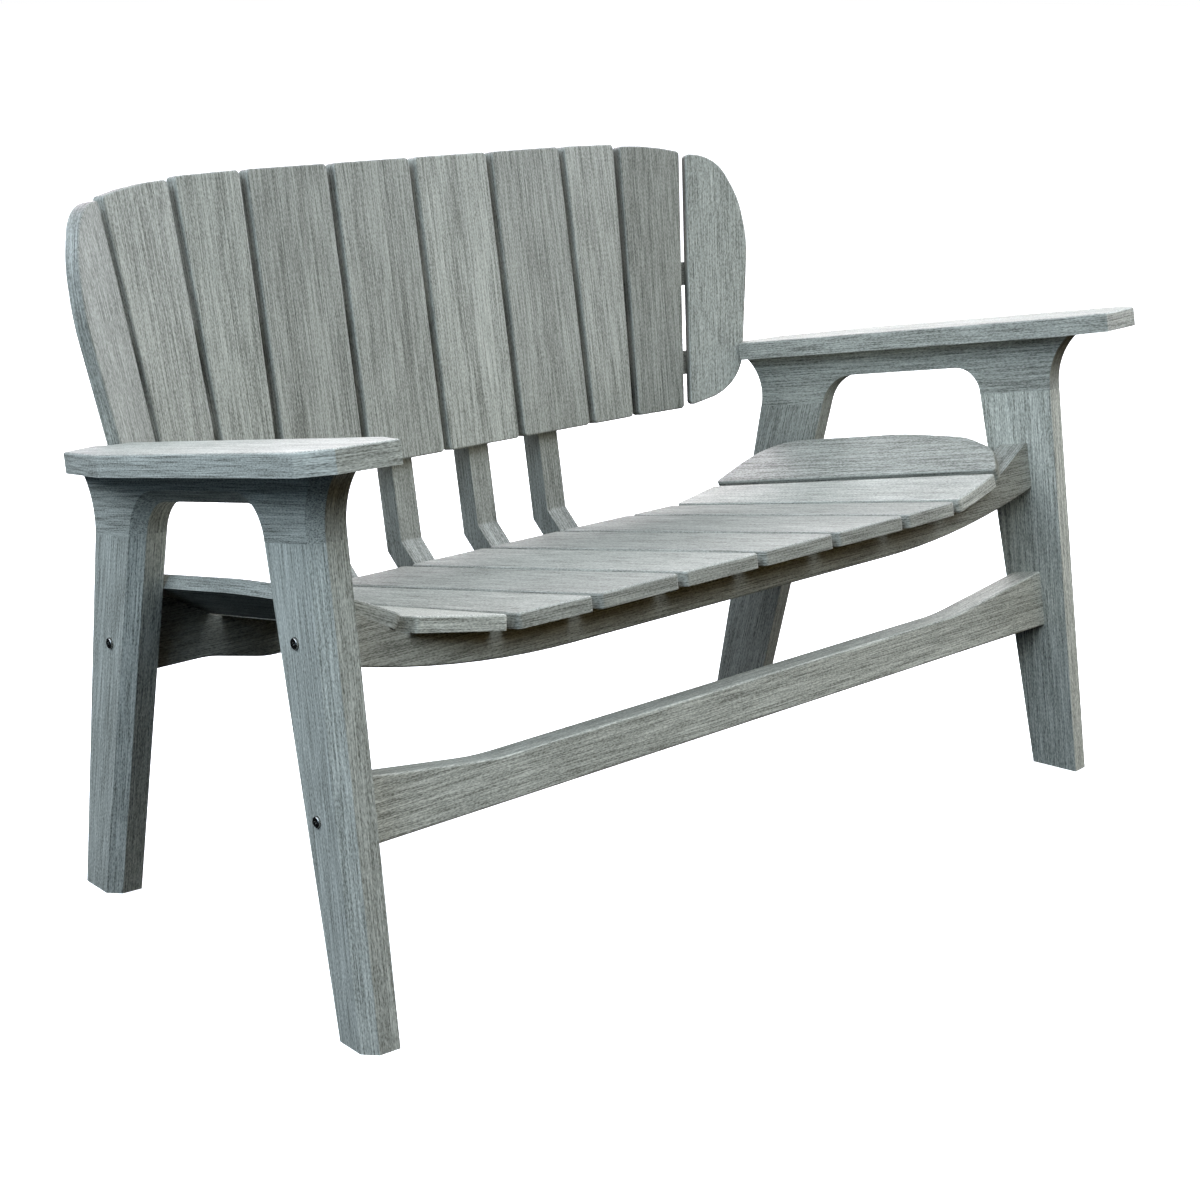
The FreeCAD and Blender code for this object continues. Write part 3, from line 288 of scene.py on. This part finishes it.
# Fixings: bolts whose low heads stand a little proud of the legs, and the barrel nuts, dowels
# and screws that are hidden in the boards. All of them have one finish, brushed steel.
steel = bpy.data.materials.new("brushed_steel")
steel.use_nodes = True
tree = steel.node_tree
place = add_node(tree, "ShaderNodeTexCoord")
scuffs = add_node(tree, "ShaderNodeTexNoise")
scuffs.inputs["Scale"].default_value = 900.0
scuffs.inputs["Detail"].default_value = 3.0
join(tree, place.outputs["Object"], scuffs.inputs["Vector"])
scuffed = add_node(tree, "ShaderNodeMapRange")
scuffed.inputs["To Min"].default_value = 0.16
scuffed.inputs["To Max"].default_value = 0.36
join(tree, scuffs.outputs["Fac"], scuffed.inputs["Value"])
skin = tree.nodes["Principled BSDF"]
skin.inputs["Base Color"].default_value = (0.42, 0.41, 0.385, 1)
skin.inputs["Metallic"].default_value = 1.0
join(tree, scuffed.outputs["Result"], skin.inputs["Roughness"])
for name in (
    "frame_bolts", "barrel_nuts", "leg_dowels", "arm_screws", "seat_slat_screws",
    "back_slat_screws", "lap_screws", "foot_screws",
):
    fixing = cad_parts[name]
    fixing.data.materials.clear()
    fixing.data.materials.append(steel)


# Studio: a plain white floor and backdrop, lit by nine soft boxes and a pale ceiling that fades
# towards the horizon. The boxes on the left are cooler than those in front, the strongest stand
# behind and to the right, and nothing bounces up from the floor.
WHITE = (1, 1, 1, 1)
FLOOR_REACH = 60.0
floor_mesh = bpy.data.meshes.new("studio_floor")
sheet = bmesh.new()
bmesh.ops.create_grid(sheet, x_segments=1, y_segments=1, size=FLOOR_REACH)
sheet.to_mesh(floor_mesh)
sheet.free()
floor = bpy.data.objects.new("studio_floor", floor_mesh)
bpy.context.scene.collection.objects.link(floor)
paint = bpy.data.materials.new("white_floor")
paint.use_nodes = True
skin = paint.node_tree.nodes["Principled BSDF"]
skin.inputs["Base Color"].default_value = (0.9, 0.9, 0.9, 1)
skin.inputs["Roughness"].default_value = 1.0
skin.inputs["Specular IOR Level"].default_value = 0.0
skin.inputs["Emission Color"].default_value = WHITE
skin.inputs["Emission Strength"].default_value = 1.0
floor.data.materials.append(paint)
floor.visible_diffuse = False
floor.visible_glossy = False

CEILING_COLOUR, CEILING_FADE = (1.83, 1.91, 2.21), 3.0
sky = bpy.data.worlds.new("white_backdrop")
sky.use_nodes = True
bpy.context.scene.world = sky
tree = sky.node_tree
ray = add_node(tree, "ShaderNodeTexCoord")
height = add_node(tree, "ShaderNodeSeparateXYZ")
join(tree, ray.outputs["Generated"], height.inputs[0])
overhead = add_node(tree, "ShaderNodeMath", operation="POWER", use_clamp=True)
overhead.inputs[1].default_value = CEILING_FADE
join(tree, height.outputs["Z"], overhead.inputs[0])
ceiling = add_node(tree, "ShaderNodeVectorMath", operation="SCALE")
ceiling.inputs[0].default_value = CEILING_COLOUR
join(tree, overhead.outputs[0], ceiling.inputs["Scale"])
seen = add_node(tree, "ShaderNodeLightPath")
backdrop = add_node(tree, "ShaderNodeMix", data_type="RGBA")
join(tree, seen.outputs["Is Camera Ray"], backdrop.inputs["Factor"])
join(tree, ceiling.outputs["Vector"], backdrop.inputs[DARK_SIDE])
backdrop.inputs[PALE_SIDE].default_value = WHITE
join(tree, backdrop.outputs[MIXED_COLOUR], tree.nodes["Background"].inputs["Color"])
tree.nodes["Background"].inputs["Strength"].default_value = 1.0

# Each soft box has a name, a place, a width, a power in watts and a tint, and faces the seat.
SEAT_MIDDLE = Vector((0.0, -0.05, 0.5))
SOFTBOXES = (
    ("front_right_softbox", (1.8, -3.4, 1.5), 2.4, 7.5, (1.44, 1.0, 0.28)),
    ("front_softbox", (-0.4, -2.6, 2.9), 2.0, 41.5, (0.88, 1.0, 1.03)),
    ("right_front_softbox", (3.0, -1.2, 2.6), 1.6, 20.7, (0.92, 1.0, 1.10)),
    ("right_softbox", (3.6, -0.4, 1.6), 2.0, 102.2, (0.94, 1.0, 1.08)),
    ("left_softbox", (-3.0, -0.9, 2.6), 2.0, 42.0, (0.75, 1.0, 1.25)),
    ("left_low_softbox", (-3.8, -0.1, 0.9), 1.8, 8.0, (0.71, 1.0, 1.31)),
    ("left_rear_softbox", (-2.8, 1.2, 2.5), 1.8, 48.3, (0.88, 1.0, 1.13)),
    ("rear_softbox", (1.6, 4.6, 3.4), 3.0, 65.6, (1.23, 1.0, 1.11)),
    ("right_rear_softbox", (3.6, 3.6, 3.4), 3.0, 134.2, (1.03, 1.0, 1.02)),
)
for name, spot, width, watts, lamp_tint in SOFTBOXES:
    lamp = bpy.data.lights.new(name, "AREA")
    lamp.shape = "SQUARE"
    lamp.size = width
    lamp.energy = watts
    lamp.color = lamp_tint
    softbox = bpy.data.objects.new(name, lamp)
    softbox.location = spot
    softbox.rotation_euler = (SEAT_MIDDLE - Vector(spot)).to_track_quat("-Z", "Y").to_euler()
    softbox.visible_camera = False
    bpy.context.scene.collection.objects.link(softbox)


# Camera: the photograph's viewing angle, from the front left at chest height, looking down a little.
# Its turn, fall and roll are in degrees, and white is kept white by the plain view transform.
CAMERA_SPOT = (-2.2396, -2.2940, 1.2185)
CAMERA_TURN, CAMERA_FALL, CAMERA_ROLL = -44.564, 15.430, 0.164
view = bpy.data.cameras.new("photo_camera")
view.sensor_width = 36.0
view.lens = 69.15
camera = bpy.data.objects.new("photo_camera", view)
camera.matrix_world = (
    Matrix.Translation(CAMERA_SPOT)
    @ Matrix.Rotation(math.radians(CAMERA_TURN), 4, "Z")
    @ Matrix.Rotation(math.radians(90 - CAMERA_FALL), 4, "X")
    @ Matrix.Rotation(math.radians(CAMERA_ROLL), 4, "Z")
)
bpy.context.scene.collection.objects.link(camera)
bpy.context.scene.camera = camera
bpy.context.scene.view_settings.view_transform = "Standard"
